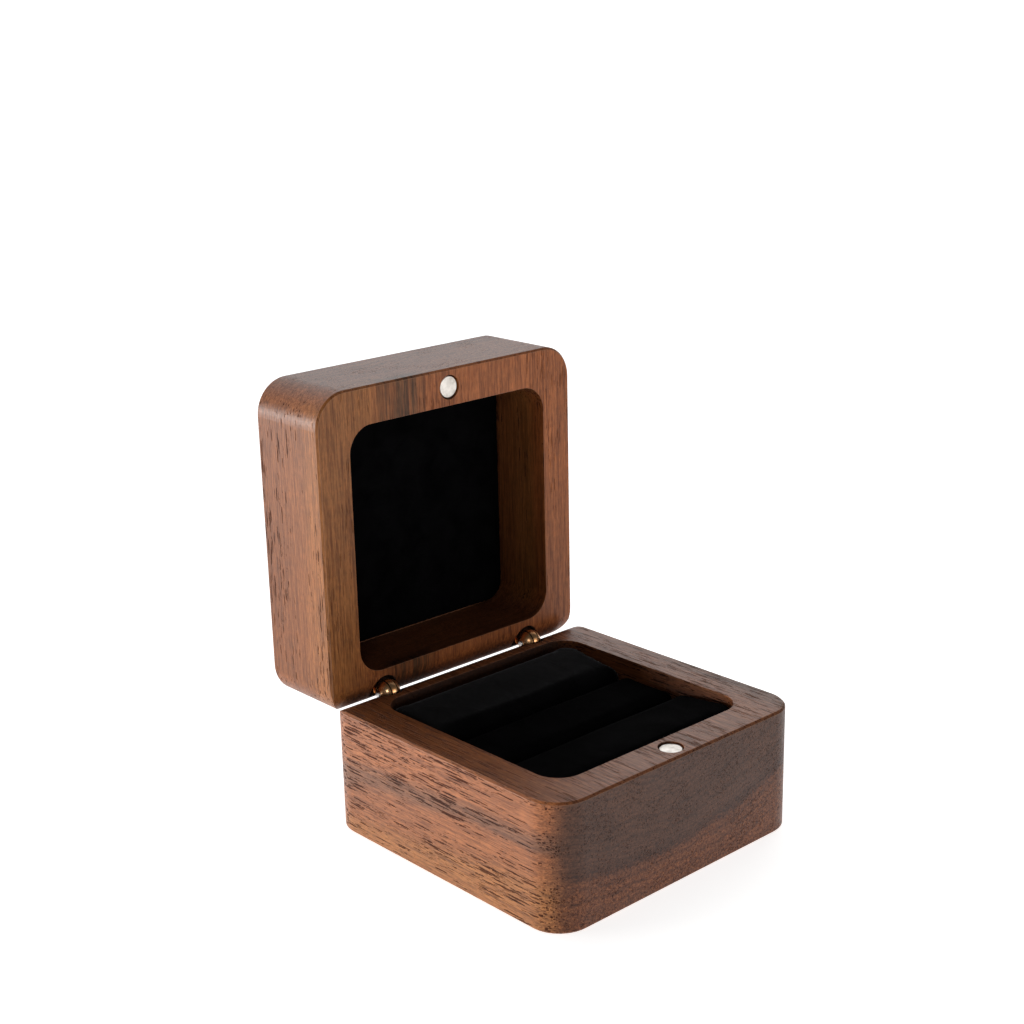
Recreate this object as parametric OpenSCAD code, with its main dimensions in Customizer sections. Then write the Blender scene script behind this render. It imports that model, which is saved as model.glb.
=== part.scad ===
// Walnut ring box for two rings, standing open.
// Origin: centre of the base's underside. +Z up, front (magnet side) towards -Y,
// back (hinge side) towards +Y, hinge axis along X. Millimetres.

/* [Box] */
// Width of the base and the lid, along the hinge axis
box_w = 60; // [54:1:75]
// Depth of the base and the lid, front to back
box_d = 60; // [56:1:75]
// Height of the base
base_h = 23.5; // [22:0.5:30]
// Height of the lid when it is shut
lid_h = 17.8; // [16:0.1:24]
// Radius of the four upright corners
corner_r = 6.35; // [6:0.05:8]
// Radius of the long round on both back edges, which lets the lid fold back
back_round_r = 5.9; // [5.8:0.05:6.6]
// Small chamfer on the top and bottom edges
edge_ease = 0.4; // [0.2:0.1:0.6]
// Thickness of the side walls around both pockets
wall_t = 6.9; // [6.6:0.1:8]
// Corner radius of both pockets
pocket_r = 5; // [4:0.5:6]
// Wood left under the base pocket
base_floor_t = 4.5; // [3:0.5:6]
// Wood left over the lid pocket
lid_top_t = 4; // [3:0.5:5]
// Angle at which the lid stands open
lid_angle = 90; // [0:1:90]

/* [Hinges] */
// Distance between the two hinges, centre to centre
hinge_span = 35.4; // [30:0.2:40]
// Hinge pin to the back face
pin_inset = 2.65; // [2.6:0.05:3.2]
// Hinge pin below the rim of the base
pin_drop = 0.5; // [0.3:0.1:0.8]
// Diameter of the ball knuckle
ball_d = 4.6; // [4.4:0.1:4.8]
// Diameter of the shank that is glued into the wood
shank_d = 3; // [2.6:0.1:3]
// Length of each shank below its ball
shank_len = 10; // [6:0.5:11]
// Thickness of the tongue in the middle of the ball
tongue_t = 1.44; // [1.2:0.02:1.6]
// Diameter of the cross pin
pin_d = 1.2; // [1:0.1:1.4]
// Diameter of the round recess in the rim around the ball
socket_d = 5.8; // [5.4:0.1:6.2]

/* [Magnets] */
// Diameter of each disc magnet
magnet_d = 4; // [3:0.1:5]
// Thickness of each disc magnet
magnet_t = 2; // [1.5:0.1:3]
// Width of the glue line around a magnet
magnet_glue = 0.25; // [0.1:0.05:0.4]
// Magnet centre to the front face
magnet_inset = 3.5; // [3:0.1:4]
// How far the magnet face lies below the rim
magnet_recess = 0.3; // [0.2:0.1:0.6]

/* [Ring cushion] */
// Distance between the two ring slots
slot_pitch = 14.2; // [12:0.2:16]
// Height of the back roll above the pocket floor board
back_roll_h = 16; // [14:0.1:17]
// Height of the middle roll
middle_roll_h = 15; // [13:0.1:17]
// Height of the front roll
front_roll_h = 15.7; // [14:0.1:17]
// Radius of the rolls' top edges
roll_r = 2; // [1:0.1:5.5]
// Thickness of the velvet
velvet_t = 0.6; // [0.4:0.1:1]
// Thickness of the card boards
card_t = 1.2; // [0.8:0.1:2]

/* [Hidden] */
$fn = 64;
fit_gap = 0.2;            // soft insert to pocket wall
wrap_gap = 0.03;          // velvet to what it wraps
slot_gap = 0.4;           // between two rolls at a ring slot
run_gap = 0.03;           // running clearance in the hinge, on the radius
rim_gap = 0.05;           // between the rims when the lid is shut
ball_gap = 0.12;          // free space past the ball in slots and sockets
pin_proud = 0.15;         // how far the pin stands out of the ball at each end
groove_w = 0.5;           // glue grooves around a shank
groove_depth = 0.25;
groove_count = 4;
cut = 1;                  // how far a cutter runs past a face

ball_r = ball_d / 2;
slot_w = tongue_t + 2 * run_gap;
pin_y = box_d / 2 - pin_inset;
pin_z = base_h - pin_drop;
lid_rim_z = base_h + rim_gap;
magnet_y = -box_d / 2 + magnet_inset;
pocket_w = box_w - 2 * wall_t;
pocket_d = box_d - 2 * wall_t;
insert_w = pocket_w - 2 * fit_gap;
insert_d = pocket_d - 2 * fit_gap;
insert_r = pocket_r - fit_gap;
roll_z = base_floor_t + card_t;
outer_roll_d = (insert_d - slot_pitch - slot_gap) / 2;
middle_roll_d = slot_pitch - slot_gap;
outer_roll_y = (slot_pitch + slot_gap + outer_roll_d) / 2;

walnut = [0.42, 0.25, 0.16];
brass = [0.80, 0.58, 0.28];
steel = [0.78, 0.79, 0.80];
nickel = [0.86, 0.84, 0.80];
velvet = [0.04, 0.04, 0.05];
foam = [0.85, 0.82, 0.72];
card = [0.30, 0.28, 0.26];

// ---------- shared shapes ----------

module rounded_square(w, d, r) {
    square([w - 2 * r, d], center = true);
    square([w, d - 2 * r], center = true);
    for (x = [-1, 1], y = [-1, 1])
        translate([x * (w / 2 - r), y * (d / 2 - r)]) circle(r);
}

// Outline of one long side, chamfered at its four edges
module eased_rectangle(w, h, e) {
    polygon([
        [-w / 2 + e, 0], [w / 2 - e, 0], [w / 2, e], [w / 2, h - e],
        [w / 2 - e, h], [-w / 2 + e, h], [-w / 2, h - e], [-w / 2, e]
    ]);
}

// Block with round upright corners and a small chamfer around its top and bottom
module eased_block(w, d, h, r, e) {
    rotate([90, 0, 0])
        linear_extrude(d - 2 * r, center = true) eased_rectangle(w, h, e);
    rotate([90, 0, 90])
        linear_extrude(w - 2 * r, center = true) eased_rectangle(d, h, e);
    for (x = [-1, 1], y = [-1, 1])
        translate([x * (w / 2 - r), y * (d / 2 - r), 0])
            rotate_extrude()
                polygon([[0, 0], [r - e, 0], [r, e], [r, h - e], [r - e, h], [0, h]]);
}

// What the long round takes off a back edge that points up, at height edge_z
module back_round_cutter(edge_z) {
    r = back_round_r;
    difference() {
        translate([-box_w / 2 - cut, box_d / 2 - r, edge_z - r])
            cube([box_w + 2 * cut, r + cut, r + cut]);
        translate([0, box_d / 2 - r, edge_z - r])
            rotate([0, 90, 0]) cylinder(r = r, h = box_w + 4 * cut, center = true);
    }
}

// Block with its pocket, magnet hole and two hinge bores, all from the rim at
// height h, and its hinge pin axis at height axis_z
module wood_shell(h, floor_t, axis_z) {
    socket_floor = axis_z - ball_r - ball_gap;
    difference() {
        eased_block(box_w, box_d, h, corner_r, edge_ease);
        back_round_cutter(h);
        translate([0, 0, floor_t])
            linear_extrude(h) rounded_square(pocket_w, pocket_d, pocket_r);
        translate([0, magnet_y, h - magnet_recess - magnet_t])
            cylinder(d = magnet_d + 2 * magnet_glue, h = magnet_t + cut);
        for (side = [-1, 1])
            translate([side * hinge_span / 2, pin_y, 0]) {
                translate([0, 0, axis_z - ball_r - shank_len])
                    cylinder(d = shank_d, h = h);
                translate([0, 0, socket_floor])
                    cylinder(d = socket_d, h = h);
            }
    }
}

// A shank that hangs from a ball at the origin, with glue grooves
module shank() {
    difference() {
        translate([0, 0, -ball_r - shank_len]) cylinder(d = shank_d, h = shank_len + ball_r);
        for (i = [1 : groove_count])
            translate([0, 0, -ball_r - i * shank_len / (groove_count + 1)])
                difference() {
                    cylinder(d = shank_d + cut, h = groove_w, center = true);
                    cylinder(d = shank_d - 2 * groove_depth, h = groove_w + cut, center = true);
                }
    }
}

module cross_bore(r) {
    rotate([0, 90, 0]) cylinder(r = r, h = ball_d + 2 * cut, center = true);
}

// Fork half of the knuckle: two outer slices of the ball on a shank
module fork_knuckle() {
    slot_depth = ball_r + ball_gap;
    difference() {
        union() {
            sphere(ball_r);
            shank();
        }
        translate([-slot_w / 2, -ball_d, -slot_depth]) cube([slot_w, 2 * ball_d, 2 * ball_d]);
        cross_bore(pin_d / 2);
    }
}

// Tongue half of the knuckle: the ball's middle slice, a neck and a shank
module tongue_knuckle() {
    neck = ball_r + ball_gap;
    difference() {
        union() {
            intersection() {
                union() {
                    sphere(ball_r);
                    translate([0, 0, -neck]) cylinder(d = shank_d, h = neck);
                }
                cube([tongue_t, 3 * ball_d, 3 * ball_d], center = true);
            }
            intersection() {
                shank();
                translate([0, 0, -neck - box_d / 2]) cube(box_d, center = true);
            }
        }
        cross_bore(pin_d / 2 + run_gap);
    }
}

module hinge_pin() {
    rotate([0, 90, 0]) cylinder(d = pin_d, h = ball_d + 2 * pin_proud, center = true);
}

module at_hinge(side) {
    translate([side * hinge_span / 2, pin_y, pin_z]) children();
}

module disc_magnet(face_z) {
    color(nickel)
        translate([0, magnet_y, face_z - magnet_t]) cylinder(d = magnet_d, h = magnet_t);
}

// Turns the lid's parts, modelled rim up as the base is, onto the hinge
module lid_place() {
    translate([0, pin_y, pin_z])
        rotate([180 - lid_angle, 0, 0])
            mirror([0, 1, 0])
                translate([0, -pin_y, -lid_axis_z]) children();
}
lid_axis_z = lid_h + lid_rim_z - pin_z;

// ---------- soft insert ----------

module insert_prism(inset, z0, h) {
    translate([0, 0, z0])
        linear_extrude(h)
            rounded_square(insert_w - 2 * inset, insert_d - 2 * inset, insert_r - inset);
}

// End view of a roll, standing on y = 0
module roll_outline(d, h, inset) {
    w = d - 2 * inset;
    top = h - inset;
    r = roll_r - inset;
    translate([-w / 2, 0]) square([w, top - r]);
    translate([-w / 2 + r, 0]) square([w - 2 * r, top]);
    for (x = [-1, 1])
        translate([x * (w / 2 - r), top - r]) circle(r);
}

module roll_solid(y, d, h, inset) {
    intersection() {
        translate([0, y, roll_z])
            rotate([90, 0, 90])
                linear_extrude(box_w, center = true) roll_outline(d, h, inset);
        insert_prism(inset, roll_z, h);
    }
}

// Foam strip inside a roll
module roll_core(y, d, h) {
    color(foam) roll_solid(y, d, h, velvet_t + wrap_gap);
}

// Velvet wrapped over a foam strip, open underneath where it is glued to the board
module roll_velvet(y, d, h) {
    color(velvet)
        difference() {
            roll_solid(y, d, h, 0);
            translate([0, 0, -cut]) roll_solid(y, d, h + cut, velvet_t);
            insert_prism(velvet_t, roll_z - cut, 2 * cut);
        }
}

// ---------- parts ----------

module base_shell() { color(walnut) wood_shell(base_h, base_floor_t, pin_z); }
module base_magnet() { disc_magnet(base_h - magnet_recess); }
module left_base_knuckle() { color(brass) at_hinge(-1) fork_knuckle(); }
module right_base_knuckle() { color(brass) at_hinge(1) fork_knuckle(); }
module left_pin() { color(steel) at_hinge(-1) hinge_pin(); }
module right_pin() { color(steel) at_hinge(1) hinge_pin(); }
module cushion_board() { color(card) insert_prism(0, base_floor_t, card_t); }
module back_roll_core() { roll_core(outer_roll_y, outer_roll_d, back_roll_h); }
module back_roll_velvet() { roll_velvet(outer_roll_y, outer_roll_d, back_roll_h); }
module middle_roll_core() { roll_core(0, middle_roll_d, middle_roll_h); }
module middle_roll_velvet() { roll_velvet(0, middle_roll_d, middle_roll_h); }
module front_roll_core() { roll_core(-outer_roll_y, outer_roll_d, front_roll_h); }
module front_roll_velvet() { roll_velvet(-outer_roll_y, outer_roll_d, front_roll_h); }

module lid_shell() { color(walnut) lid_place() wood_shell(lid_h, lid_top_t, lid_axis_z); }
module lid_magnet() { lid_place() disc_magnet(lid_h - magnet_recess); }
module lid_knuckle(side) {
    color(brass) at_hinge(side) rotate([180 - lid_angle, 0, 0]) tongue_knuckle();
}
module left_lid_knuckle() { lid_knuckle(-1); }
module right_lid_knuckle() { lid_knuckle(1); }

// Card that the lid's velvet is stretched over
module lid_board() {
    color(card) lid_place() insert_prism(velvet_t + wrap_gap, lid_top_t, card_t);
}

// Velvet over the card, with its edges turned down to the pocket floor
module lid_velvet() {
    color(velvet)
        lid_place()
            difference() {
                insert_prism(0, lid_top_t, card_t + wrap_gap + velvet_t);
                insert_prism(velvet_t, lid_top_t - cut, card_t + wrap_gap + cut);
            }
}

base_shell();
base_magnet();
left_base_knuckle();
right_base_knuckle();
left_pin();
right_pin();
cushion_board();
back_roll_core();
back_roll_velvet();
middle_roll_core();
middle_roll_velvet();
front_roll_core();
front_roll_velvet();
lid_shell();
lid_magnet();
left_lid_knuckle();
right_lid_knuckle();
lid_board();
lid_velvet();
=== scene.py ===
"""Looks of the walnut ring box: wood, velvet cushion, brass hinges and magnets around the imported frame."""

import math

import bpy
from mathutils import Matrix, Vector


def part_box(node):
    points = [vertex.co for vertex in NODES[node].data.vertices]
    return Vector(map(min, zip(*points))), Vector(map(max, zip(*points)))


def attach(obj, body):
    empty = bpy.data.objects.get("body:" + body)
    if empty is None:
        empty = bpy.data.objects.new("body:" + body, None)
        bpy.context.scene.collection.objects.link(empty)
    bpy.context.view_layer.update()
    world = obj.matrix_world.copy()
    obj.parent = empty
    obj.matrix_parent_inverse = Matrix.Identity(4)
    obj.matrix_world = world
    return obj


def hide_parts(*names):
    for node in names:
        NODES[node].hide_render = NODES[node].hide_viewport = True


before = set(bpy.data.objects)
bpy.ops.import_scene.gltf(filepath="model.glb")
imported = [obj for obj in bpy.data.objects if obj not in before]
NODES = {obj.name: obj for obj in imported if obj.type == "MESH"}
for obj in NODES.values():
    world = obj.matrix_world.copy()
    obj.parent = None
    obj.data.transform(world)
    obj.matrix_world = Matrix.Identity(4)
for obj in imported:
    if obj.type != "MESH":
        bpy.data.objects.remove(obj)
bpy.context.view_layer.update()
MM = 0.001

PIN_LOW, PIN_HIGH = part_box("right_pin")
HINGE_X = (PIN_LOW.x + PIN_HIGH.x) / 2 / MM
SOCKET_R = 2.9       # radius of the recess around a hinge ball, in millimetres
TONGUE_HALF = 0.735  # from a ball's middle to the joint between its tongue and its fork, in millimetres
POCKET_FIT = 0.25    # from a soft insert to just inside the pocket wall, in millimetres
BASE_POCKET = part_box("cushion_board")[1].x / MM + POCKET_FIT
LID_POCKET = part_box("lid_velvet")[1].x / MM + POCKET_FIT
BASE_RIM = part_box("base_shell")[1].z / MM
LID_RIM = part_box("lid_shell")[0].y / MM
LID_MIDDLE = (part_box("lid_velvet")[0].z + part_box("lid_velvet")[1].z) / 2 / MM
SLOTS = [
    (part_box("front_roll_velvet")[1].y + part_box("middle_roll_velvet")[0].y) / 2,
    (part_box("middle_roll_velvet")[1].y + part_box("back_roll_velvet")[0].y) / 2,
]


# ---------- shader graph helper ----------


class Graph:
    """A material's node tree. Each method adds a node and returns the output that the next one takes."""

    def __init__(self, name):
        self.material = bpy.data.materials.new(name)
        self.material.use_nodes = True
        self.tree = self.material.node_tree
        self.shader = self.tree.nodes["Principled BSDF"]

    def node(self, kind, inputs=(), **settings):
        made = self.tree.nodes.new("ShaderNode" + kind)
        for name, value in settings.items():
            setattr(made, name, value)
        for name, value in dict(inputs).items():
            self.feed(made.inputs[name], value)
        return made

    def feed(self, socket, value):
        if isinstance(value, bpy.types.NodeSocket):
            self.tree.links.new(value, socket)
        else:
            socket.default_value = value

    def place(self):
        """Object coordinates, in millimetres."""
        coordinates = self.node("TexCoord").outputs["Object"]
        return self.scaled(coordinates, (1 / MM,) * 3)

    def scaled(self, vector, factors):
        return self.node("VectorMath", {0: vector, 1: factors}, operation="MULTIPLY").outputs[0]

    def math(self, operation, a, b=0.0):
        return self.node("Math", {0: a, 1: b}, operation=operation).outputs[0]

    def length(self, a, b):
        return self.math("SQRT", self.math("ADD", self.math("MULTIPLY", a, a), self.math("MULTIPLY", b, b)))

    def noise(self, vector, scale=1.0, detail=2.0, rough=0.5, warp=0.0):
        inputs = {"Vector": vector, "Scale": scale, "Detail": detail, "Roughness": rough, "Distortion": warp}
        return self.node("TexNoise", inputs).outputs["Fac"]

    def cells(self, vector, scale=1.0):
        return self.node("TexVoronoi", {"Vector": vector, "Scale": scale}).outputs["Distance"]

    def step(self, value, low, high, to_low=0.0, to_high=1.0):
        """value from low..high eased onto to_low..to_high."""
        inputs = {"Value": value, "From Min": low, "From Max": high, "To Min": to_low, "To Max": to_high}
        return self.node("MapRange", inputs, interpolation_type="SMOOTHSTEP").outputs["Result"]

    def ramp(self, value, stops):
        made = self.node("ValToRGB", {"Fac": value})
        elements = made.color_ramp.elements
        while len(elements) < len(stops):
            elements.new(1.0)
        for element, (position, colour) in zip(elements, stops):
            element.position = position
            element.color = (*colour, 1.0)
        return made.outputs["Color"]

    def mix(self, share, a, b, blend="MIX"):
        made = self.node("Mix", data_type="RGBA", blend_type=blend)
        self.feed(made.inputs[0], share)
        self.feed(made.inputs[6], a if isinstance(a, bpy.types.NodeSocket) else (*a, 1.0))
        self.feed(made.inputs[7], b if isinstance(b, bpy.types.NodeSocket) else (*b, 1.0))
        return made.outputs[2]

    def tint(self, share, colour, factors):
        """colour times factors, by as much as share."""
        return self.mix(share, colour, factors, "MULTIPLY")

    def bump(self, height, depth_mm, normal=None, strength=1.0):
        inputs = {"Height": height, "Distance": depth_mm * MM, "Strength": strength}
        if normal:
            inputs["Normal"] = normal
        return self.node("Bump", inputs).outputs["Normal"]

    def finish(self, colour=None, roughness=None, normal=None, **plain):
        """Feeds the shader. plain are numbers and colours set on its own sockets."""
        for name, value in (("Base Color", colour), ("Roughness", roughness), ("Normal", normal)):
            if value is not None:
                self.feed(self.shader.inputs[name], value)
        for name, value in plain.items():
            self.shader.inputs[name.replace("_", " ")].default_value = value
        return self.material


# ---------- materials ----------


def board_place(g, across, thick, along):
    """Object coordinates as (across the board, through it, along its grain), in millimetres."""
    split = g.node("SeparateXYZ", {0: g.place()})
    parts = {"X": split.outputs[0], "Y": split.outputs[1], "Z": split.outputs[2]}
    joined = g.node("CombineXYZ", {0: parts[across], 1: parts[thick], 2: parts[along]})
    return joined.outputs[0]


def wood_noise(g, place, across, along, detail=2.0, rough=0.5, warp=0.0):
    """Noise drawn out along the grain. across and along are its waves per millimetre."""
    return g.noise(g.scaled(place, (across, across, along)), detail=detail, rough=rough, warp=warp)


# What wood_noise takes for each texture of the walnut.
WOOD_NOISES = {
    "sway": (0.05, 0.015),
    "wobble": (0.35, 0.04),
    "fibre": (4.5, 0.20, 4.0, 0.65),
    "grain": (2.0, 0.06, 4.0, 0.65),
    "streak": (0.9, 0.03, 3.0, 0.6, 0.3),
    "blotch": (0.10, 0.05),
    "ripple": (0.15, 0.8),
    "speck": (2.5, 0.7, 3.0, 0.7),
    "coarse": (1.9, 0.5, 2.0, 0.7),
    "clusters": (0.14, 0.02, 3.0, 0.6),
    "wander": (0.12, 0.06, 1.0),
    "ragged": (2.2, 0.9),
}

# Tints laid over the growth bands in turn: the noise, the values of it between which the tint comes in,
# its largest share and its colour factors.
WOOD_TINTS = [
    ("streak", 0.50, 0.72, 0.55, (0.52, 0.46, 0.43)),
    ("grain", 0.40, 0.66, 0.75, (0.55, 0.50, 0.47)),
    ("fibre", 0.40, 0.64, 0.80, (0.55, 0.47, 0.42)),
    ("blotch", 0.42, 0.68, 0.40, (1.30, 1.28, 1.15)),
    ("ripple", 0.45, 0.62, 0.18, (1.30, 1.25, 1.15)),
    ("speck", 0.42, 0.60, 0.55, (1.45, 1.40, 1.32)),
]


def walnut(name, board, worn=0.0):
    """Oiled walnut, solid through the board. worn is how far an edge takes its lighter colour, which is
    partly wear and partly a painted highlight.
    """
    g = Graph(name)
    place = board_place(g, *board["axes"])
    split = g.node("SeparateXYZ", {0: place})
    u, v, w = split.outputs[0], split.outputs[1], split.outputs[2]
    rim_at, rim_side = board["rim"]
    below_rim = g.math("MULTIPLY", g.math("SUBTRACT", v, rim_at), rim_side)
    facing = g.node("SeparateXYZ", {0: g.node("TexCoord").outputs["Normal"]})
    end_grain = g.step(g.math("ABSOLUTE", facing.outputs[board["axes"][2]]), 0.45, 0.97)
    flat_sawn = g.math("ABSOLUTE", facing.outputs[board["axes"][1]])
    noises = {texture: wood_noise(g, place, *recipe) for texture, recipe in WOOD_NOISES.items()}

    tone = figure(g, board, ring_radius(g, board, u, v, w, noises), noises, end_grain)
    if board["stain"]:
        tone = stained(g, tone, u, v, place, *board["stain"])
    holes = open_pores(g, board, place, noises, end_grain, flat_sawn)
    tone = g.tint(g.math("MULTIPLY", holes, board["pore_depth"]), tone, (0.17, 0.10, 0.08))
    # partly wear and partly a painted highlight: the edge strips take a lighter colour
    if worn:
        rubbed_and_lit = g.math("MAXIMUM", g.step(below_rim, 0.5, 2.0, 1.0, 0.0), g.step(below_rim, 7.0, 9.0))
        tone = g.mix(g.math("MULTIPLY", rubbed_and_lit, worn), tone, board["worn_and_lit_colour"])
    else:
        # painted shade: the pocket's walls darkened by (0.60, 0.57, 0.54)
        tone = g.tint(pocket_wall_shade(g, u, w, below_rim, *board["pocket"]), tone, (0.60, 0.57, 0.54))
    dull = unpolished_and_shaded(g, u, w, below_rim, board["hinge_at"])
    # painted shade: the round below the rim beside the hinge line darkened by (0.50, 0.45, 0.42)
    round_shade = g.math("MULTIPLY", dull, g.step(below_rim, 0.0, 0.6))
    tone = g.tint(round_shade, tone, (0.50, 0.45, 0.42))
    # painted shade in the sockets around the hinge balls, (0.16, 0.13, 0.12)
    tone = g.tint(socket_shade(g, u, w, below_rim, board["hinge_at"]), tone, (0.16, 0.13, 0.12))

    relief = g.math("SUBTRACT", g.math("MULTIPLY", noises["fibre"], 0.35), holes)
    normal = g.bump(relief, 0.09, strength=0.9)
    coarse = g.math("ADD", g.math("MULTIPLY", noises["fibre"], 0.5), holes)
    roughness = g.step(coarse, 0.1, 1.2, 0.38, 0.95)
    roughness = g.math("MAXIMUM", roughness, g.math("MULTIPLY", dull, 0.95))
    return g.finish(tone, roughness, normal, Specular_IOR_Level=board["gloss"])


def ring_radius(g, board, u, v, w, noises):
    """Distance from the pith in millimetres, made a little uneven, as growth rings are."""
    pith_u, pith_v, squeeze = board["pith"]
    du = g.math("MULTIPLY", g.math("SUBTRACT", u, pith_u), squeeze)
    dv = g.math("SUBTRACT", g.math("ADD", v, g.math("MULTIPLY", w, board["tilt"])), pith_v)
    radius = g.length(du, dv)
    radius = g.math("ADD", radius, g.step(noises["sway"], 0.25, 0.75, -1.6, 1.6))
    return g.math("ADD", radius, g.step(noises["wobble"], 0.25, 0.75, -0.3, 0.3))


def figure(g, board, radius, noises, end_grain):
    """The wood's colour before pores and wear: growth bands with finer lines and specks over them."""
    ring_axis = g.node("CombineXYZ", {0: radius}).outputs[0]
    ring_line = g.noise(ring_axis, scale=1.1, detail=3.0, rough=0.7)
    tone = g.mix(end_grain, banded(g, radius, board["face_bands"]), banded(g, radius, board["end_bands"]))
    tone = g.tint(g.step(ring_line, 0.48, 0.72, 0.0, 0.40), tone, (0.58, 0.52, 0.50))
    for texture, low, high, share, factors in WOOD_TINTS:
        tone = g.tint(g.step(noises[texture], low, high, 0.0, share), tone, factors)
    mottle = g.math("MULTIPLY", end_grain, g.step(radius, *board["mottle"]))
    mottle = g.math("MULTIPLY", mottle, g.step(noises["coarse"], 0.42, 0.60))
    tone = g.tint(mottle, tone, (0.50, 0.42, 0.38))
    late_wood = g.math("MULTIPLY", end_grain, g.step(ring_line, 0.44, 0.58))
    return g.tint(g.math("MULTIPLY", late_wood, board["end_lines"]), tone, (0.55, 0.50, 0.48))


def open_pores(g, board, place, noises, end_grain, flat_sawn):
    """How deep the wood's pores are, 0 to 1: long and fine ones in clusters, along wandering grain."""
    bend = g.math("ADD", noises["wander"], g.math("MULTIPLY", noises["ragged"], 0.30))
    bent = g.node("VectorMath", {0: place, 1: g.node("CombineXYZ", {0: bend, 1: bend}).outputs[0]})
    share = g.step(noises["clusters"], 0.36, 0.62, *board["pore_share"])
    long_pore = pores(g, bent.outputs[0], board["pore_grid"], share)
    fine_pore = pores(g, bent.outputs[0], board["fine_grid"], g.math("MULTIPLY", share, 0.75))
    holes = g.math("MAXIMUM", long_pore, g.math("MULTIPLY", fine_pore, 0.6))
    holes = g.math("MULTIPLY", holes, g.step(end_grain, 0.2, 1.0, 1.0, board["end_pore_depth"]))
    return g.math("MULTIPLY", holes, g.step(flat_sawn, 0.5, 0.95, 1.0, 0.55))


def pocket_wall_shade(g, u, w, below_rim, middle, half, depth):
    """1 on the walls of the pocket, which are darkened there as painted shade."""
    off_u = g.math("ABSOLUTE", u)
    off_w = g.math("ABSOLUTE", g.math("SUBTRACT", w, middle))
    inside = g.step(g.math("MAXIMUM", off_u, off_w), half, half + 0.1, 1.0, 0.0)
    inside = g.math("MULTIPLY", inside, g.step(below_rim, 0.0, 0.6))
    return g.math("MULTIPLY", inside, g.step(below_rim, depth, depth + 0.5, 1.0, 0.0))


def unpolished_and_shaded(g, u, w, below_rim, hinge_at):
    """1 in the groove along the hinge line, which hands never polish, and 0 on the box's outside. It makes
    the groove matte, and on the round below the rim it gives painted shade.
    """
    off_w = g.math("ABSOLUTE", g.math("SUBTRACT", w, hinge_at))
    beside = g.step(off_w, 1.5, 6.0, 1.0, 0.0)
    near_rim = g.step(below_rim, 1.0, 4.5, 1.0, 0.0)
    between_sides = g.step(g.math("ABSOLUTE", u), 25.0, 29.0, 1.0, 0.0)
    return g.math("MULTIPLY", beside, g.math("MULTIPLY", near_rim, between_sides))


def socket_shade(g, u, w, below_rim, hinge_at):
    """1 in the sockets around the two hinge balls, whose wood is darkened there as painted shade."""
    off_u = g.math("SUBTRACT", g.math("ABSOLUTE", u), HINGE_X)
    off_w = g.math("SUBTRACT", w, hinge_at)
    from_axis = g.length(off_u, off_w)
    inside = g.step(from_axis, SOCKET_R, SOCKET_R + 0.12, 1.0, 0.0)
    return g.math("MULTIPLY", inside, g.step(below_rim, SOCKET_R, SOCKET_R + 0.2, 1.0, 0.0))


def banded(g, radius, bands):
    """Colours by distance from the pith. bands are (millimetres, colour), from the pith outwards."""
    inner, outer = bands[0][0], bands[-1][0]
    inputs = {"Value": radius, "From Min": inner, "From Max": outer}
    share = g.node("MapRange", inputs).outputs["Result"]
    return g.ramp(share, [((at - inner) / (outer - inner), colour) for at, colour in bands])


def pores(g, place, grid, share):
    """Open vessels along the grain: 1 inside a pore. share is the part of the grid's cells with one."""
    made = g.node("TexVoronoi", {"Vector": g.scaled(place, grid), "Scale": 1.0})
    pick = g.node("SeparateColor", {0: made.outputs["Color"]}).outputs[0]
    least = g.math("SUBTRACT", 1.0, share)
    size = g.step(pick, least, g.math("ADD", least, 0.45), 0.0, 0.50)
    return g.step(g.math("SUBTRACT", made.outputs["Distance"], size), -0.09, 0.01, 1.0, 0.0)


def stained(g, tone, u, v, place, centre, half_width, reach):
    """A dark mineral streak along the grain, at centre across the board and from its rim to reach."""
    ragged = g.noise(g.scaled(place, (1.6, 0.2, 0.05)), detail=4.0, rough=0.7)
    off = g.math("ABSOLUTE", g.math("SUBTRACT", u, centre))
    edge = g.math("ADD", off, g.step(ragged, 0.3, 0.7, -2.0, 2.0))
    inside = g.step(edge, half_width - 1.0, half_width + 0.8, 1.0, 0.0)
    near_rim = g.step(v, reach, reach + 3.0, 1.0, 0.0)
    lines = g.step(ragged, 0.40, 0.60, 0.35, 1.0)
    share = g.math("MULTIPLY", g.math("MULTIPLY", inside, near_rim), lines)
    return g.tint(share, tone, (0.28, 0.38, 0.52))


def velvet(name, sheen):
    """Black pile: nearly no colour face on, a grey sheen at grazing angles, brushed in soft patches."""
    g = Graph(name)
    place = g.place()
    brushed = g.noise(g.scaled(place, (0.22, 0.16, 0.2)), detail=3.0, warp=0.6)
    nap = g.noise(g.scaled(place, (22.0, 9.0, 22.0)), detail=3.0, rough=0.7)
    tuft = g.cells(place, scale=16.0)
    colour = g.ramp(g.math("ADD", g.math("MULTIPLY", brushed, 0.6), g.math("MULTIPLY", nap, 0.4)),
                    [(0.35, (0.0008, 0.0008, 0.0010)), (0.62, (0.0032, 0.0031, 0.0035))])
    pile = g.math("ADD", nap, g.math("MULTIPLY", tuft, 0.2))
    soft = g.bump(brushed, 0.25, strength=0.5)
    normal = g.bump(pile, 0.035, normal=soft, strength=0.8)
    roughness = g.step(nap, 0.3, 0.7, 0.85, 1.0)
    return g.finish(colour, roughness, normal, Specular_IOR_Level=0.01, Sheen_Weight=sheen,
                    Sheen_Roughness=0.35, Sheen_Tint=(0.55, 0.56, 0.60, 1.0))


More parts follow.
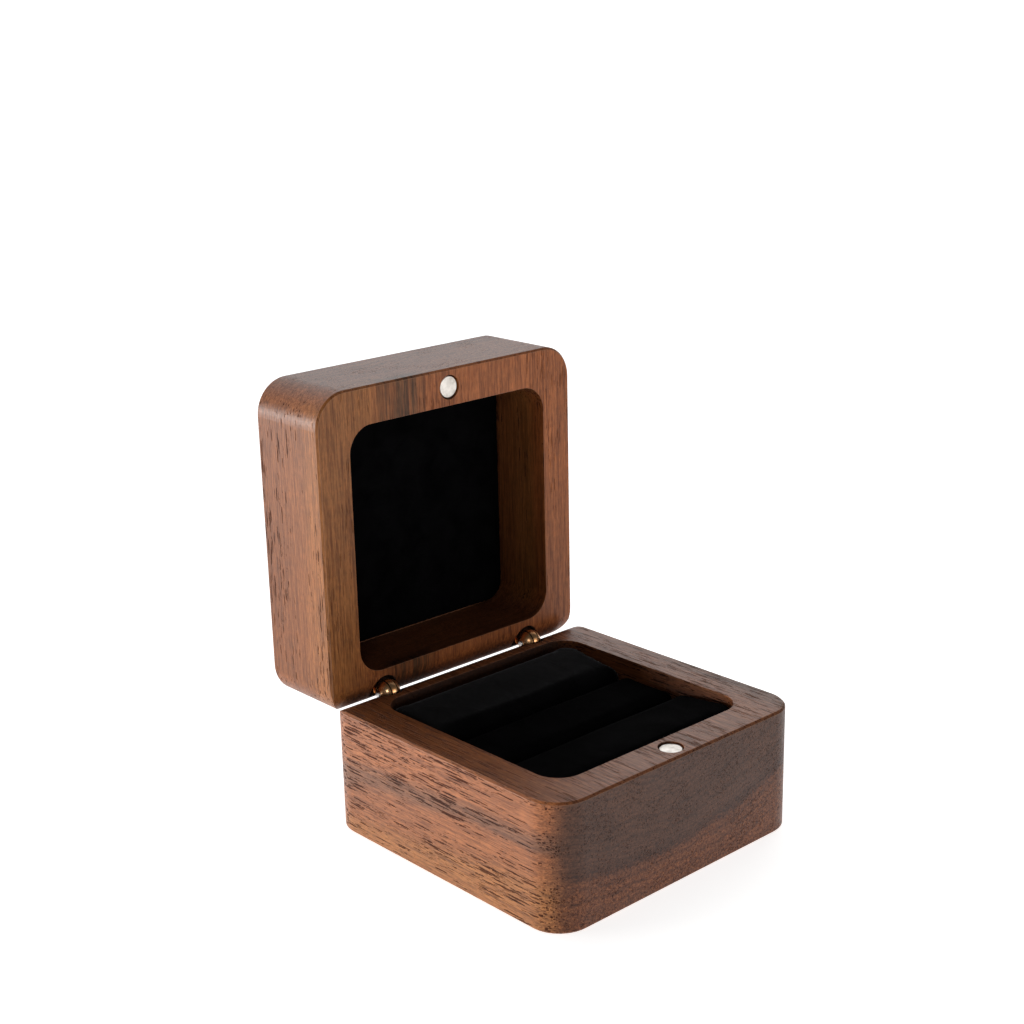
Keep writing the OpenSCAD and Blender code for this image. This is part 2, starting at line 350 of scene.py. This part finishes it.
def polished_metal(name, dark, light, rough, scratch_mm=0.004, joints=False):
    """Turned and polished metal: cloudy tarnish, fine turning lines, dull spots and grime in its joints."""
    g = Graph(name)
    place = g.place()
    cloud = g.noise(place, scale=0.9, detail=3.0)
    lines = g.noise(g.scaled(place, (14.0, 2.0, 2.0)), detail=4.0, rough=0.7)
    spots = g.step(g.cells(place, scale=2.2), 0.05, 0.22, 1.0, 0.0)
    worn = g.math("ADD", cloud, g.math("MULTIPLY", spots, 0.25))
    colour = g.ramp(worn, [(0.35, light), (0.75, dark)])
    roughness = g.step(g.math("ADD", g.math("MULTIPLY", lines, 0.5), worn), 0.5, 1.3, rough, rough + 0.22)
    if joints:
        across = g.node("SeparateXYZ", {0: place}).outputs[0]
        off = g.math("ABSOLUTE", g.math("SUBTRACT", g.math("ABSOLUTE", across), HINGE_X))
        grime = g.step(g.math("ABSOLUTE", g.math("SUBTRACT", off, TONGUE_HALF)), 0.06, 0.20, 1.0, 0.0)
        colour = g.tint(grime, colour, (0.05, 0.03, 0.02))
        roughness = g.math("MAXIMUM", roughness, g.math("MULTIPLY", grime, 0.8))
    normal = g.bump(lines, scratch_mm, strength=0.6)
    return g.finish(colour, roughness, normal, Metallic=1.0)


def foam():
    """Open-cell cushion foam."""
    g = Graph("cream_foam")
    place = g.place()
    cell = g.cells(place, scale=2.6)
    stain = g.noise(place, scale=0.12, detail=2.0)
    colour = g.ramp(g.math("ADD", g.math("MULTIPLY", cell, 0.6), g.math("MULTIPLY", stain, 0.5)),
                    [(0.2, (0.34, 0.30, 0.20)), (0.7, (0.66, 0.61, 0.47))])
    return g.finish(colour, g.step(cell, 0.0, 0.6, 0.95, 0.8), g.bump(cell, 0.25))


def card():
    """Grey pasteboard with flecks of fibre."""
    g = Graph("grey_card")
    place = g.place()
    fleck = g.noise(g.scaled(place, (1.8, 6.0, 3.0)), detail=4.0, rough=0.7)
    cloud = g.noise(place, scale=0.2, detail=2.0)
    colour = g.ramp(g.math("ADD", g.math("MULTIPLY", fleck, 0.7), g.math("MULTIPLY", cloud, 0.3)),
                    [(0.35, (0.09, 0.08, 0.07)), (0.65, (0.20, 0.18, 0.155))])
    return g.finish(colour, g.step(fleck, 0.3, 0.7, 0.75, 0.95), g.bump(fleck, 0.03))


# ---------- carried CAD nodes ----------

WELD_MM = 0.005  # the mesh's points nearer than this are one point
SHARP_FROM = math.radians(28)  # edges that turn less than this are part of a curve
# Width of the rounded edges on each kind of piece, in millimetres.
EDGE_MM = {"shell": 0.06, "knuckle": 0.02, "pin": 0.12, "magnet": 0.15, "foam": 0.05, "card": 0.10}


def soften(node, width_mm, segments, edge_slot=0, flat_within=0.4):
    """Rounds the CAD node's sharp edges, as sanding or tumbling does, with modifiers only.

    Facets within flat_within degrees of each other, if any, are joined first. The width is narrow
    enough that no rounded strip crosses the next one and folds over it.
    """
    made = NODES[node]
    weld = made.modifiers.new("weld", "WELD")
    weld.merge_threshold = WELD_MM * MM
    if flat_within:
        plain = made.modifiers.new("plain_faces", "DECIMATE")
        plain.decimate_type = "DISSOLVE"
        plain.angle_limit = math.radians(flat_within)
    bevel = made.modifiers.new("soft_edges", "BEVEL")
    bevel.width = width_mm * MM
    bevel.segments = segments
    bevel.limit_method = "ANGLE"
    bevel.angle_limit = SHARP_FROM
    bevel.use_clamp_overlap = False
    bevel.loop_slide = False
    bevel.material = edge_slot
    shade = made.modifiers.new("even_shading", "WEIGHTED_NORMAL")
    shade.keep_sharp = True


def dress(node, *materials):
    """Fills the CAD node's material slots. Slot 0 is the surface and slot 1, if any, the edges, whose
    lighter colour is partly wear and partly a painted highlight.
    """
    slots = NODES[node].data.materials
    slots.clear()
    for material in materials:
        slots.append(material)


# ---------- velvet pieces ----------

SIM_SCALE = 20.0  # the cloth solver is tuned for pieces of about a metre
SIM_FRAMES = 20
PRESSURE = 16.0
SINK_SHARE = 0.25  # of the cap on its travel, how far a point may sink below where it started
LEAST_MOVE = 1e-9  # keeps the cap from dividing by zero

GLUED_FOOT = 1.6 * MM    # height of the strip along a roll's foot that is glued down
GLUED_BACK = 0.5 * MM    # thickness of the layer at the lid lining's back that is glued down
PILE_STAND = 0.12 * MM   # how far a roll's pile may stand out of its CAD velvet
SLOT_SAG = 0.25 * MM     # how far a roll sinks beside a ring slot
SLOT_SAG_REACH = 3.0 * MM
END_RISE = 0.9 * MM      # how much higher the cushion stands at its front and back than in its middle
END_RISE_FROM = 8.0 * MM
END_RISE_REACH = 12.0 * MM


def swelling_copy(name, source, voxel_mm):
    """A closed, evenly meshed copy of a CAD node, enlarged for the cloth solver."""
    mesh = NODES[source].data.copy()
    piece = bpy.data.objects.new(name, mesh)
    bpy.context.scene.collection.objects.link(piece)
    for vertex in mesh.vertices:
        vertex.co *= SIM_SCALE
    grid = piece.modifiers.new("even_mesh", "REMESH")
    grid.mode = "VOXEL"
    grid.voxel_size = voxel_mm * MM * SIM_SCALE
    bake_modifiers(piece)
    return piece


def bake_modifiers(piece):
    """Applies every modifier on piece."""
    graph = bpy.context.evaluated_depsgraph_get()
    done = bpy.data.meshes.new_from_object(piece.evaluated_get(graph))
    piece.modifiers.clear()
    old = piece.data
    piece.data = done
    bpy.data.meshes.remove(old)


def puff(piece, distance_mm):
    """Moves each point out along its normal."""
    normals = [v.normal.copy() for v in piece.data.vertices]
    for vertex, normal in zip(piece.data.vertices, normals):
        vertex.co += normal * distance_mm * MM * SIM_SCALE


def inflate(piece, glued, cap_mm):
    """Swells the cloth by simulation, with the glued points held and the travel of the rest capped."""
    group = piece.vertex_groups.new(name="glued")
    group.add([v.index for v in piece.data.vertices if glued(v.co / SIM_SCALE)], 1.0, "REPLACE")
    start = [(v.co.copy(), v.normal.copy()) for v in piece.data.vertices]
    cloth = piece.modifiers.new("cloth", "CLOTH")
    settings = cloth.settings
    settings.quality = 6
    settings.use_pressure = True
    settings.uniform_pressure_force = PRESSURE
    settings.effector_weights.gravity = 0.0
    settings.vertex_group_mass = "glued"
    settings.shrink_min = -0.03
    settings.bending_stiffness = 0.3
    scene = bpy.context.scene
    for number in range(1, SIM_FRAMES + 1):
        scene.frame_set(number)
    bake_modifiers(piece)
    cap = cap_mm * MM * SIM_SCALE
    for vertex, (rest, normal) in zip(piece.data.vertices, start):
        move = vertex.co - rest
        sunk = min(move.dot(normal) + SINK_SHARE * cap, 0.0)
        move -= normal * sunk
        vertex.co = rest + move * min(1.0, cap / max(move.length, LEAST_MOVE))
    scene.frame_set(1)


def settle(piece, shape, material):
    """Back to real size, then every point through shape, which keeps it in its space."""
    for vertex in piece.data.vertices:
        vertex.co = shape(vertex.co / SIM_SCALE)
    smooth = piece.modifiers.new("soft_cloth", "SUBSURF")
    smooth.levels = 1
    smooth.render_levels = 1
    for polygon in piece.data.polygons:
        polygon.use_smooth = True
    piece.data.materials.clear()
    piece.data.materials.append(material)


def clamp(value, low, high):
    return max(low, min(high, value))


def eased(value):
    """value from 0..1 eased in and out, and held at 0 and 1 beyond."""
    value = clamp(value, 0.0, 1.0)
    return value * value * (3.0 - 2.0 * value)


def roll(name, material):
    """One velvet roll of the ring cushion: cloth over its foam strip, glued down along its foot."""
    low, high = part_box(name + "_velvet")
    piece = swelling_copy(name, name + "_core", voxel_mm=0.62)
    foot = low.z + GLUED_FOOT
    puff(piece, distance_mm=0.42)
    inflate(piece, lambda co: co.z < foot, cap_mm=0.45)

    def shape(co):
        lift = clamp((co.z - foot) / (high.z - foot), 0.0, 1.0)
        sag = SLOT_SAG * sum(eased(1.0 - abs(co.y - slot) / SLOT_SAG_REACH) for slot in SLOTS)
        rise = END_RISE * eased((abs(co.y) - END_RISE_FROM) / END_RISE_REACH)
        return Vector((
            clamp(co.x, low.x - PILE_STAND, high.x + PILE_STAND),
            clamp(co.y, low.y - PILE_STAND, high.y + PILE_STAND),
            clamp(co.z, low.z, high.z + PILE_STAND) + (rise - sag) * lift,
        ))

    settle(piece, shape, material)
    return piece


def lid_pad():
    """The lid's lining: velvet drawn over a card, with its edges turned under."""
    low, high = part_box("lid_velvet")
    piece = swelling_copy("lid_lining", "lid_board", voxel_mm=0.42)
    back = high.y - GLUED_BACK
    puff(piece, distance_mm=0.35)
    inflate(piece, lambda co: co.y > back, cap_mm=0.35)

    def shape(co):
        return Vector((
            clamp(co.x, low.x, high.x),
            clamp(co.y, low.y, high.y),
            clamp(co.z, low.z, high.z),
        ))

    settle(piece, shape, FLAT_VELVET)
    return piece


# ---------- studio ----------

VIEW_AZIMUTH = math.radians(-42.13)
VIEW_ELEVATION = math.radians(17.96)
VIEW_ROLL = math.radians(-1.33)
VIEW_DISTANCE = 315.9 * MM
AIM_RIGHT = -8.1 * MM
AIM_UP = 32.8 * MM
AIM_HEIGHT = 20.0 * MM
LENS_MM = 61.95
LENS_SHIFT_UP = 0.0264
LIGHT_AIM = (0.0, 0.0, 0.03)
FLOOR_HALF = 40.0  # half of the floor's side, in metres
FLOOR_GLOW = 0.80
BRIGHT_SIDE = (0.45, 0.80, 0.40)
BRIGHT_SIDE_LIGHT = 1.60
DIM_SIDE_LIGHT = 0.05
FADE_FROM = 0.40  # the cosine of the angle to the bright side where its light starts, and where it is full
FADE_TO = 0.92


def view_axes():
    """Right, up and back directions of the camera before it rolls."""
    sin_a, cos_a = math.sin(VIEW_AZIMUTH), math.cos(VIEW_AZIMUTH)
    sin_e, cos_e = math.sin(VIEW_ELEVATION), math.cos(VIEW_ELEVATION)
    right = Vector((cos_a, sin_a, 0.0))
    back = Vector((sin_a * cos_e, -cos_a * cos_e, sin_e))
    return right, back.cross(right), back


def add_camera():
    right, up, back = view_axes()
    aim = Vector((0.0, 0.0, AIM_HEIGHT)) + right * AIM_RIGHT + up * AIM_UP
    data = bpy.data.cameras.new("camera")
    data.lens = LENS_MM
    data.sensor_width = 36.0
    data.shift_y = LENS_SHIFT_UP
    data.clip_start = 0.01
    data.clip_end = 50.0
    camera = bpy.data.objects.new("camera", data)
    bpy.context.scene.collection.objects.link(camera)
    turn = back.to_track_quat("Z", "Y").to_matrix()
    turn.col[0] = right * math.cos(VIEW_ROLL) + up * math.sin(VIEW_ROLL)
    turn.col[1] = up * math.cos(VIEW_ROLL) - right * math.sin(VIEW_ROLL)
    turn.col[2] = back
    camera.matrix_world = turn.to_4x4()
    camera.location = aim + back * VIEW_DISTANCE
    bpy.context.scene.camera = camera


def add_softbox(name, place, size, power, colour=(1.0, 1.0, 1.0)):
    """A rectangular light of size (width, height) in metres and power in watts, turned to the box."""
    data = bpy.data.lights.new(name, "AREA")
    data.shape = "RECTANGLE"
    data.size, data.size_y = size
    data.energy = power
    data.color = colour
    light = bpy.data.objects.new(name, data)
    bpy.context.scene.collection.objects.link(light)
    light.location = place
    light.rotation_euler = (Vector(LIGHT_AIM) - Vector(place)).to_track_quat("-Z", "Y").to_euler()


def add_floor():
    mesh = bpy.data.meshes.new("floor")
    corners = [(x * FLOOR_HALF, y * FLOOR_HALF, 0.0) for x, y in ((-1, -1), (1, -1), (1, 1), (-1, 1))]
    mesh.from_pydata(corners, [], [(0, 1, 2, 3)])
    floor = bpy.data.objects.new("floor", mesh)
    bpy.context.scene.collection.objects.link(floor)
    g = Graph("floor_white")
    grain = g.noise(g.place(), scale=0.02, detail=2.0)
    colour = g.ramp(grain, [(0.3, (0.86, 0.86, 0.86)), (0.7, (0.89, 0.89, 0.89))])
    material = g.finish(colour, g.step(grain, 0.3, 0.7, 0.75, 0.85), Specular_IOR_Level=0.2,
                        Emission_Color=(1.0, 1.0, 1.0, 1.0), Emission_Strength=FLOOR_GLOW)
    mesh.materials.append(material)


def add_world():
    """A white studio that is bright behind on the right, and dim overhead and on the camera's side."""
    world = bpy.data.worlds.new("white_studio")
    world.use_nodes = True
    tree = world.node_tree
    sky = tree.nodes["Background"]
    sky.inputs["Color"].default_value = (1.0, 1.0, 1.0, 1.0)
    place = tree.nodes.new("ShaderNodeTexCoord")
    side = tree.nodes.new("ShaderNodeVectorMath")
    side.operation = "DOT_PRODUCT"
    side.inputs[1].default_value = Vector(BRIGHT_SIDE).normalized()
    tree.links.new(place.outputs["Generated"], side.inputs[0])
    fade = tree.nodes.new("ShaderNodeMapRange")
    fade.interpolation_type = "SMOOTHSTEP"
    fade.inputs["From Min"].default_value = FADE_FROM
    fade.inputs["From Max"].default_value = FADE_TO
    fade.inputs["To Min"].default_value = DIM_SIDE_LIGHT
    fade.inputs["To Max"].default_value = BRIGHT_SIDE_LIGHT
    tree.links.new(side.outputs["Value"], fade.inputs["Value"])
    tree.links.new(fade.outputs["Result"], sky.inputs["Strength"])
    bpy.context.scene.world = world


# ---------- the object ----------

# A board's coordinates are u across it, v through it and w along its grain, in millimetres, on the
# object's axes in that order. pith is where the tree's middle lay in u and v, and a factor on distances
# across it, which below 1 makes the rings flat ovals. rim is where its rim lies in v, and the side of it
# that the wood is on. pocket is the pocket's middle in w, half its width, and its depth. stain is the
# streak's middle in u, half its width, and how far it reaches in v. mottle is what Graph.step takes after
# its value. pore_grid and fine_grid are cells per millimetre of long and of fine pores, and pore_share
# is the part of those cells with a pore, between the clusters and within them.
BASE_BOARD = {
    "axes": ("X", "Z", "Y"),
    "pith": (-9.0, 52.0, 0.75),
    "tilt": 0.10,
    "face_bands": [
        (30.0, (0.310, 0.110, 0.040)),
        (38.5, (0.310, 0.112, 0.042)),
        (40.8, (0.200, 0.084, 0.042)),
        (42.6, (0.175, 0.074, 0.038)),
        (44.0, (0.285, 0.103, 0.039)),
        (47.5, (0.290, 0.106, 0.038)),
        (50.0, (0.320, 0.130, 0.041)),
        (55.0, (0.310, 0.124, 0.039)),
    ],
    "end_bands": [
        (28.0, (0.102, 0.041, 0.021)),
        (43.5, (0.102, 0.041, 0.021)),
        (45.8, (0.114, 0.047, 0.026)),
        (46.8, (0.092, 0.036, 0.018)),
        (47.8, (0.100, 0.037, 0.018)),
        (49.2, (0.185, 0.065, 0.027)),
        (52.0, (0.230, 0.080, 0.030)),
        (56.0, (0.250, 0.086, 0.032)),
    ],
    "mottle": (45.0, 48.5, 0.25, 0.90),
    "end_lines": 0.55,
    "gloss": 0.32,
    "pore_grid": (3.3, 3.3, 0.165),
    "pore_share": (0.40, 0.82),
    "fine_grid": (6.5, 6.5, 0.50),
    "pore_depth": 0.92,
    "end_pore_depth": 0.5,
    "stain": None,
    "rim": (BASE_RIM, -1.0),
    "pocket": (0.0, BASE_POCKET, BASE_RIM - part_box("cushion_board")[0].z / MM),
    "hinge_at": (PIN_LOW.y + PIN_HIGH.y) / 2 / MM,
    "worn_and_lit_colour": (0.42, 0.20, 0.11),
}
LID_BOARD = {
    "axes": ("X", "Y", "Z"),
    "pith": (12.0, -20.0, 0.60),
    "tilt": 0.02,
    "face_bands": [
        (47.5, (0.360, 0.116, 0.036)),
        (51.5, (0.345, 0.114, 0.036)),
        (54.0, (0.280, 0.110, 0.034)),
        (57.0, (0.275, 0.106, 0.034)),
        (60.0, (0.220, 0.080, 0.028)),
        (70.0, (0.200, 0.070, 0.025)),
    ],
    "end_bands": [
        (47.5, (0.300, 0.116, 0.053)),
        (54.0, (0.296, 0.114, 0.052)),
        (60.0, (0.272, 0.106, 0.050)),
        (70.0, (0.245, 0.096, 0.046)),
    ],
    "mottle": (47.5, 70.0, 0.22, 0.30),
    "end_lines": 0.45,
    "gloss": 0.22,
    "pore_grid": (3.2, 3.2, 0.28),
    "pore_share": (0.02, 0.60),
    "fine_grid": (5.5, 5.5, 0.35),
    "pore_depth": 0.80,
    "end_pore_depth": 0.40,
    "stain": (-11.5, 5.2, 29.0),
    "rim": (LID_RIM, 1.0),
    "pocket": (LID_MIDDLE, LID_POCKET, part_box("lid_velvet")[1].y / MM - LID_RIM),
    "hinge_at": (PIN_LOW.z + PIN_HIGH.z) / 2 / MM,
    "worn_and_lit_colour": (0.46, 0.25, 0.15),
}

FLAT_VELVET = velvet("black_velvet", sheen=0.008)
# painted light: a copy of the black velvet whose much stronger sheen stands in for the light on the back
# roll
LIT_BACK_ROLL_VELVET = velvet("lit_back_roll_velvet", sheen=0.28)
BRASS = polished_metal("aged_brass", (0.84, 0.39, 0.15), (1.0, 0.60, 0.32), rough=0.25, joints=True)
STEEL = polished_metal("pin_steel", (0.35, 0.34, 0.33), (0.72, 0.71, 0.70), rough=0.20)
NICKEL = polished_metal("satin_nickel", (0.46, 0.43, 0.39), (0.68, 0.64, 0.60), rough=0.34,
                        scratch_mm=0.008)
FOAM = foam()
CARD = card()

# how far the edge strips take their lighter colour, partly wear and partly a painted highlight
EDGE_WEAR_AND_HIGHLIGHT = 0.28
base_wood = walnut("walnut_base", BASE_BOARD)
base_edge = walnut("walnut_base_edge", BASE_BOARD, worn=EDGE_WEAR_AND_HIGHLIGHT)
lid_wood = walnut("walnut_lid", LID_BOARD)
lid_edge = walnut("walnut_lid_edge", LID_BOARD, worn=EDGE_WEAR_AND_HIGHLIGHT)
dress("base_shell", base_wood, base_edge)
dress("lid_shell", lid_wood, lid_edge)
for shell in ("base_shell", "lid_shell"):
    soften(shell, EDGE_MM["shell"], 2, edge_slot=1)

# Degrees. The fork on the base keeps all its facets, and the lid's tongue has its nearly flat ones joined.
KNUCKLE_FLAT_WITHIN = {"base": 0.0, "lid": 2.0}
for side in ("left", "right"):
    for half, flat_within in KNUCKLE_FLAT_WITHIN.items():
        dress(f"{side}_{half}_knuckle", BRASS)
        soften(f"{side}_{half}_knuckle", EDGE_MM["knuckle"], 2, flat_within=flat_within)
    dress(f"{side}_pin", STEEL)
    soften(f"{side}_pin", EDGE_MM["pin"], 3)
for magnet in ("base_magnet", "lid_magnet"):
    dress(magnet, NICKEL)
    soften(magnet, EDGE_MM["magnet"], 3)
for node in ("back_roll_core", "middle_roll_core", "front_roll_core"):
    dress(node, FOAM)
    soften(node, EDGE_MM["foam"], 2)
for node in ("cushion_board", "lid_board"):
    dress(node, CARD)
    soften(node, EDGE_MM["card"], 2)

ROLL_VELVETS = {"back_roll": LIT_BACK_ROLL_VELVET, "middle_roll": FLAT_VELVET, "front_roll": FLAT_VELVET}
for name, pile in ROLL_VELVETS.items():
    piece = roll(name, pile)
    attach(piece, "base")
    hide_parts(name + "_velvet")

lining = lid_pad()
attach(lining, "lid")
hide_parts("lid_velvet")

add_camera()
add_floor()
add_world()
add_softbox("key", place=(-1.0, 0.85, 0.09), size=(0.7, 0.16), power=18.5)
add_softbox("sparkle", place=(-0.80, -0.76, 0.52), size=(0.22, 0.22), power=1.1)
add_softbox("front_fill", place=(0.45, -1.10, 0.18), size=(0.7, 0.3), power=2.6, colour=(1.0, 0.95, 0.90))
bpy.context.scene.view_settings.view_transform = "Standard"
